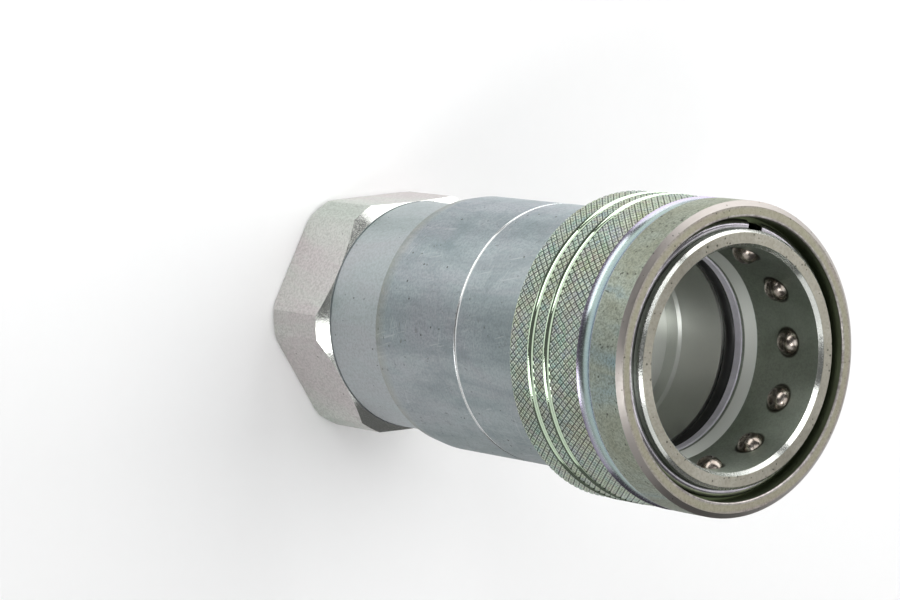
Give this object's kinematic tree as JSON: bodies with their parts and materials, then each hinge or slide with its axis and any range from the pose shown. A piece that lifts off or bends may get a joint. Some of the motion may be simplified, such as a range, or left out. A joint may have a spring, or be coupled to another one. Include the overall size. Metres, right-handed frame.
{
  "type": "hydraulic poppet coupler",
  "caption": "Female half of a hydraulic quick coupling: hexagon end with threaded port, round body, sliding knurled sleeve, ball lock, seals and a sprung poppet valve.",
  "frame": {"origin": "middle of the port face, which it stands on", "axes": "+Z along the coupling's axis towards the socket's mouth, +X square to one flat of the hexagon and through one locking ball"},
  "size_m": [0.052, 0.052, 0.099],
  "materials": {
    "zinc_body": "light zinc plating with a faint blue tint, satin",
    "zinc_sleeve": "yellowish zinc plating, knurled bands, polished grooves",
    "spring_steel": "bright spring steel",
    "ball_steel": "polished bearing steel",
    "seal_rubber": "black nitrile rubber",
    "ptfe": "off-white fluoropolymer"
  },
  "bodies": {
    "body": {"valve_body": "zinc_body", "port_adapter": "zinc_body", "stop_ring": "spring_steel", "spring_seat_ring": "spring_steel", "sleeve_spring": "spring_steel", "probe_seal": "seal_rubber", "backup_ring": "ptfe", "adapter_seal": "seal_rubber", "poppet_guide": "zinc_body", "poppet_spring": "spring_steel"},
    "sleeve": {"locking_sleeve": "zinc_sleeve"},
    "poppet": {"poppet": "zinc_body", "poppet_seal": "seal_rubber"},
    "ball_01": {"locking_ball_01": "ball_steel"},
    "ball_02": {"locking_ball_02": "ball_steel"},
    "ball_03": {"locking_ball_03": "ball_steel"},
    "ball_04": {"locking_ball_04": "ball_steel"},
    "ball_05": {"locking_ball_05": "ball_steel"},
    "ball_06": {"locking_ball_06": "ball_steel"},
    "ball_07": {"locking_ball_07": "ball_steel"},
    "ball_08": {"locking_ball_08": "ball_steel"},
    "ball_09": {"locking_ball_09": "ball_steel"},
    "ball_10": {"locking_ball_10": "ball_steel"},
    "ball_11": {"locking_ball_11": "ball_steel"},
    "ball_12": {"locking_ball_12": "ball_steel"}
  },
  "joints": [
    {"name": "sleeve_slide", "type": "slide", "parent": "body", "child": "sleeve", "axis": [0, 0, -1], "range_m": [0, 0.0073], "stiffness_N_per_m": 3000, "springref_m": -0.008, "deforming": ["sleeve_spring"]},
    {"name": "poppet_slide", "type": "slide", "parent": "body", "child": "poppet", "axis": [0, 0, -1], "range_m": [0, 0.0065], "stiffness_N_per_m": 1500, "springref_m": -0.012, "deforming": ["poppet_spring"]},
    {"name": "ball_slide_01", "type": "slide", "parent": "body", "child": "ball_01", "axis": [1, 0, 0], "range_m": [0, 0.00165]},
    {"name": "ball_slide_02", "type": "slide", "parent": "body", "child": "ball_02", "axis": [0.866, 0.5, 0], "range_m": [0, 0.00165]},
    {"name": "ball_slide_03", "type": "slide", "parent": "body", "child": "ball_03", "axis": [0.5, 0.866, 0], "range_m": [0, 0.00165]},
    {"name": "ball_slide_04", "type": "slide", "parent": "body", "child": "ball_04", "axis": [0, 1, 0], "range_m": [0, 0.00165]},
    {"name": "ball_slide_05", "type": "slide", "parent": "body", "child": "ball_05", "axis": [-0.5, 0.866, 0], "range_m": [0, 0.00165]},
    {"name": "ball_slide_06", "type": "slide", "parent": "body", "child": "ball_06", "axis": [-0.866, 0.5, 0], "range_m": [0, 0.00165]},
    {"name": "ball_slide_07", "type": "slide", "parent": "body", "child": "ball_07", "axis": [-1, 0, 0], "range_m": [0, 0.00165]},
    {"name": "ball_slide_08", "type": "slide", "parent": "body", "child": "ball_08", "axis": [-0.866, -0.5, 0], "range_m": [0, 0.00165]},
    {"name": "ball_slide_09", "type": "slide", "parent": "body", "child": "ball_09", "axis": [-0.5, -0.866, 0], "range_m": [0, 0.00165]},
    {"name": "ball_slide_10", "type": "slide", "parent": "body", "child": "ball_10", "axis": [0, -1, 0], "range_m": [0, 0.00165]},
    {"name": "ball_slide_11", "type": "slide", "parent": "body", "child": "ball_11", "axis": [0.5, -0.866, 0], "range_m": [0, 0.00165]},
    {"name": "ball_slide_12", "type": "slide", "parent": "body", "child": "ball_12", "axis": [0.866, -0.5, 0], "range_m": [0, 0.00165]}
  ],
  "couplings": [
    {"joint": "ball_slide_01", "follows": "sleeve_slide", "ratio": 0.22603},
    {"joint": "ball_slide_02", "follows": "sleeve_slide", "ratio": 0.22603},
    {"joint": "ball_slide_03", "follows": "sleeve_slide", "ratio": 0.22603},
    {"joint": "ball_slide_04", "follows": "sleeve_slide", "ratio": 0.22603},
    {"joint": "ball_slide_05", "follows": "sleeve_slide", "ratio": 0.22603},
    {"joint": "ball_slide_06", "follows": "sleeve_slide", "ratio": 0.22603},
    {"joint": "ball_slide_07", "follows": "sleeve_slide", "ratio": 0.22603},
    {"joint": "ball_slide_08", "follows": "sleeve_slide", "ratio": 0.22603},
    {"joint": "ball_slide_09", "follows": "sleeve_slide", "ratio": 0.22603},
    {"joint": "ball_slide_10", "follows": "sleeve_slide", "ratio": 0.22603},
    {"joint": "ball_slide_11", "follows": "sleeve_slide", "ratio": 0.22603},
    {"joint": "ball_slide_12", "follows": "sleeve_slide", "ratio": 0.22603}
  ]
}
